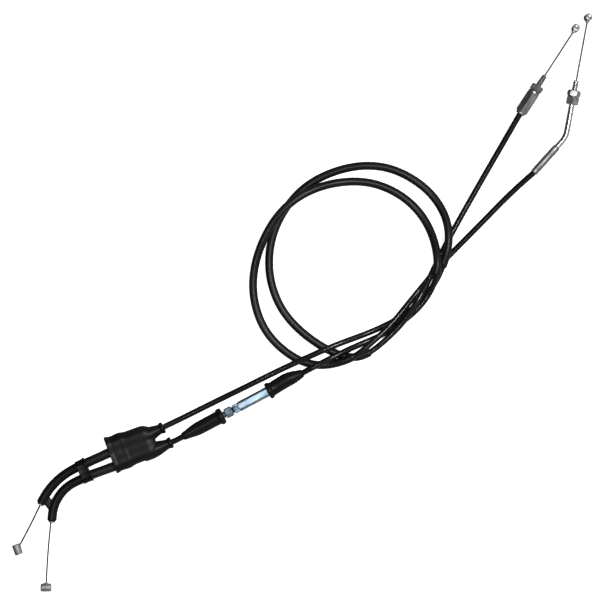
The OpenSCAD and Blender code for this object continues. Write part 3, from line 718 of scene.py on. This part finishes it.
def carb_fittings():
    crimp = lathe("crimped_ferrule", RETURN_END,
                  [(-0.6, 2.6), (-0.5, 3.5), (-0.1, 3.95), (0.5, 4.1), (2.2, 4.2)])
    finish_piece(crimp, ROOT, STEEL_RETURN, ["return_end_ferrule"], 50)
    stud = thread("stud", RETURN_END, 22, STUD_TIP, 2.75, FINE_PITCH, taper=0.45, bore=WIRE_HOLE)
    stud.data.materials.append(STEEL_STUD)
    outline = [(20.6, 4.6), (21, 5.0), (22.2, 5.0), (22.6, 4.7), (22.8, 3.0)]
    shoulder = hollow("shoulder", [circle(RETURN_END, x, r) for x, r in outline],
                      [circle(RETURN_END, x, WIRE_HOLE) for x in (20.6, 22.8)])
    body = hex_bar("body", RETURN_END, 1.6, 21, HEX, 1.1, turn=-6, bore=WIRE_HOLE)
    body.data.materials.append(STEEL_RETURN)
    shoulder.data.materials.append(STEEL_STUD)
    adjuster = joined("straight_adjuster", [body, shoulder, stud])
    finish_piece(adjuster, ROOT, None, ["return_adjuster"], 28)
    nut = hex_bar("return_jam_nut", RETURN_END, 23.0, 28.4, HEX, 1.1, turn=8, bore=2.8)
    finish_piece(nut, "return_nut", STEEL_RETURN, ["return_locknut"], 28)

    tube_back = reversed_axis(TUBE_TIP).moved(TUBE_THREAD)
    points = arc_points(tube_back, *TUBE_BEND)
    bent = joined("bent_tube", [tube("bend", points, TUBE_R, 32, bore=WIRE_HOLE * MM),
                                thread("tip_thread", TUBE_TIP, -TUBE_THREAD - 1, 0, 2.5, FINE_PITCH,
                                       bore=WIRE_HOLE)])
    finish_piece(bent, ROOT, STEEL_TUBE, ["pull_bent_tube"], 30)
    for name, body_name, start, end, turn in (("lower", "lower_nut", -20.6, -14.1, 4),
                                              ("upper", "upper_nut", -13.9, -8.4, 24)):
        nut = hex_bar(f"{name}_bracket_nut", TUBE_TIP, start, end, HEX, 1.2, turn=turn, bore=2.55)
        finish_piece(nut, body_name, NUT_STEEL, [f"pull_{name}_nut"], 28)

    low = reversed_axis(Axis(points[-1], points[-2] - points[-1]))
    ferrule = lathe("long_ferrule", low,
                    [(-10, 2.5), (-9.6, 2.9), (-9, 3.05), (-2, 3.15), (-1.6, 2.95), (-0.6, 2.95),
                     (-0.2, 3.15), (16, 3.15), (16.4, 2.95), (17.4, 2.95), (17.8, 3.15),
                     (19, 3.1), (19.7, 2.7), (19.8, 2.4)])
    finish_piece(ferrule, ROOT, FERRULE_STEEL, ["pull_tube_ferrule"], 40)


# ---- Inner wires and nipples -------------------------------------------------

WIRE_R = 0.75


def strand(name, axis, start, end, bow=0.0, lean=0.0):
    """A wire of six twisted strands; bow is a slight curve and lean its offset at the mouth."""
    step, lay, lobes, sides = 0.5, 9.0, 6, 24
    rings = []
    count = int((end - start) / step)
    for i in range(count + 1):
        x = start + (end - start) * i / count
        share = min(max(x / end, 0.0), 1.0)
        offset = bow * math.sin(math.pi * share) + lean * (1 - share) ** 2
        ring = []
        for k in range(sides):
            angle = 2 * math.pi * k / sides
            wave = abs(math.cos(lobes / 2 * (angle - 2 * math.pi * x / lay)))
            r = WIRE_R * (0.8 + 0.2 * wave)
            ring.append(axis.at(x, r * math.cos(angle) + offset, r * math.sin(angle)))
        rings.append(ring)
    return loft(name, rings)


def inner_wires():
    ends = (("pull", PULL_MOUTH, 52, -0.7, -0.8, -5), ("return", RETURN_MOUTH, 39, 0.4, 0.0, -3))
    for side, mouth, free, bow, lean, tail in ends:
        wire = strand(f"{side}_grip_strand", mouth, tail, free + 2.5, bow, lean)
        finish_piece(wire, None, WIRE, [f"{side}_grip_wire"], 80)
        tuple(mouth.at(0))
        tuple(mouth.at(free))
        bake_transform(wire)
    carb = (("pull", TUBE_TIP, -8, 49.5), ("return", RETURN_END.moved(STUD_TIP), -4, 42.8))
    for side, tip, tail, free in carb:
        wire = strand(f"{side}_carb_strand", tip, tail, free + 3)
        finish_piece(wire, f"{side}_carb_end", WIRE, [f"{side}_carb_wire"], 80)


def nipple(name, body, node, wire_axis, radius, length, boss, cast):
    """A cast barrel with rounded rims, a dimple in each end and a soldered wire entry."""
    axis = mount_axis(node)
    half = length / 2
    end = [(half, 0.9), (half - 0.25, 1.1), (half, 1.5), (half, radius - 1.0),
           (half - 0.16, radius - 0.5), (half - 0.5, radius - 0.17), (half - 1.0, radius)]
    outline = [(-half + 0.3, 0.05)] + [(-x, r) for x, r in end] + list(reversed(end))
    outline.append((half - 0.3, 0.05))
    barrel = lathe("barrel", axis, outline, 44)
    barrel.data.materials.append(cast)
    entry = Axis(axis.origin, wire_axis.ahead)
    cone = lathe("solder", entry, [(-radius - boss, 0.8), (-radius - boss * 0.8, 1.15),
                                   (-radius - boss * 0.3, 1.6), (-radius + 0.3, 2.0), (-radius + 1, 2.1)], 28)
    cone.data.materials.append(SOLDER if boss < 1 else cast)
    piece = joined(name, [barrel, cone])
    finish_piece(piece, body, None, [node], 45)


def nipples():
    for side, wire_axis in (("pull", PULL_MOUTH), ("return", RETURN_MOUTH)):
        nipple(f"{side}_grip_barrel", f"{side}_grip_end", f"{side}_grip_nipple", wire_axis,
               3.5, 9.2, 0.8, NIPPLE)
    for side, wire_axis in (("pull", TUBE_TIP), ("return", RETURN_END)):
        nipple(f"{side}_carb_barrel", f"{side}_carb_end", f"{side}_carb_nipple", wire_axis,
               3.25, 7.0, 1.8, CARB_NIPPLE)


# ---- CAD nodes that stay, with better materials -------------------------------

def keep_nodes():
    finishes = {
        "pull_guide_pipe": PIPE_STEEL, "return_guide_pipe": PIPE_STEEL,
        "pull_pipe_sleeve": TUBE_RUBBER, "return_pipe_sleeve": TUBE_RUBBER,
        "pull_casing_cap": PIPE_STEEL, "return_casing_cap": PIPE_STEEL,
        "pull_link_casing": CASING, "return_casing_stub": CASING, "pull_casing_stub": CASING,
        "inline_ferrule": ZINC_BRIGHT,
    }
    for node, material in finishes.items():
        obj = frame["nodes"][node]
        if not obj.material_slots:
            obj.data.materials.append(material)
        for held in obj.material_slots:
            held.material = material


# ---- Floor and light ----------------------------------------------------------

IMAGE_RIGHT = Vector((math.cos(VIEW_TURN), math.sin(VIEW_TURN), 0))
IMAGE_UP = UP.cross(IMAGE_RIGHT)
FLOOR_GLOW = 0.75
SKY = [(0.0, grey(0.05)), (0.3, grey(0.16)), (0.5, grey(0.42)), (0.75, grey(0.6)), (1.0, grey(0.5))]
# name, direction to the lamp from the middle of the picture, side length, power
LAMPS = (
    ("upper_right", 0.5 * IMAGE_RIGHT + 0.3 * IMAGE_UP + 2.0 * UP, 0.14, 30),
    ("lower_left", -0.7 * IMAGE_RIGHT - 0.35 * IMAGE_UP + 2.0 * UP, 0.14, 12),
)


def floor_and_light():
    bpy.ops.mesh.primitive_plane_add(size=8, location=(0, 0, -0.0002))
    floor = bpy.context.object
    floor.name = "floor"
    pale = Shader("pale_floor", 0.9, specular=0.1)
    pale.colour(pale.ramp(pale.noise(3), [(0.3, grey(0.9)), (0.7, grey(0.92))]))
    pale.surface.inputs["Emission Color"].default_value = (1, 1, 1, 1)
    pale.surface.inputs["Emission Strength"].default_value = FLOOR_GLOW
    floor.data.materials.append(pale.material)
    floor.visible_glossy = False

    world = bpy.data.worlds.new("studio")
    world.use_nodes = True
    nodes, links = world.node_tree.nodes, world.node_tree.links
    place = nodes.new("ShaderNodeTexCoord")
    side = nodes.new("ShaderNodeVectorMath")
    side.operation = "DOT_PRODUCT"
    side.inputs[1].default_value = IMAGE_RIGHT
    spread = nodes.new("ShaderNodeMapRange")
    spread.inputs["From Min"].default_value = -1
    ramp = nodes.new("ShaderNodeValToRGB")
    elements = ramp.color_ramp.elements
    while len(elements) < len(SKY):
        elements.new(0.5)
    for element, (stop, colour) in zip(elements, SKY):
        element.position = stop
        element.color = (*colour, 1)
    links.new(place.outputs["Generated"], side.inputs[0])
    links.new(side.outputs["Value"], spread.inputs["Value"])
    links.new(spread.outputs["Result"], ramp.inputs["Fac"])
    links.new(ramp.outputs["Color"], nodes["Background"].inputs["Color"])
    bpy.context.scene.world = world

    for name, way, size, power in LAMPS:
        data = bpy.data.lights.new(name, "AREA")
        data.size = size
        data.energy = power
        lamp = bpy.data.objects.new(name, data)
        lamp.location = VIEW_CENTRE + way
        lamp.rotation_euler = (-way).to_track_quat("-Z", "Y").to_euler()
        lamp.visible_camera = False
        bpy.context.scene.collection.objects.link(lamp)
    bpy.context.scene.view_settings.view_transform = "Standard"


guide_cover()
pipe_mouths()
guide_collar()
twin_boot()
in_line_boots()
in_line_metal()
carb_fittings()
inner_wires()
nipples()
keep_nodes()
floor_and_light()
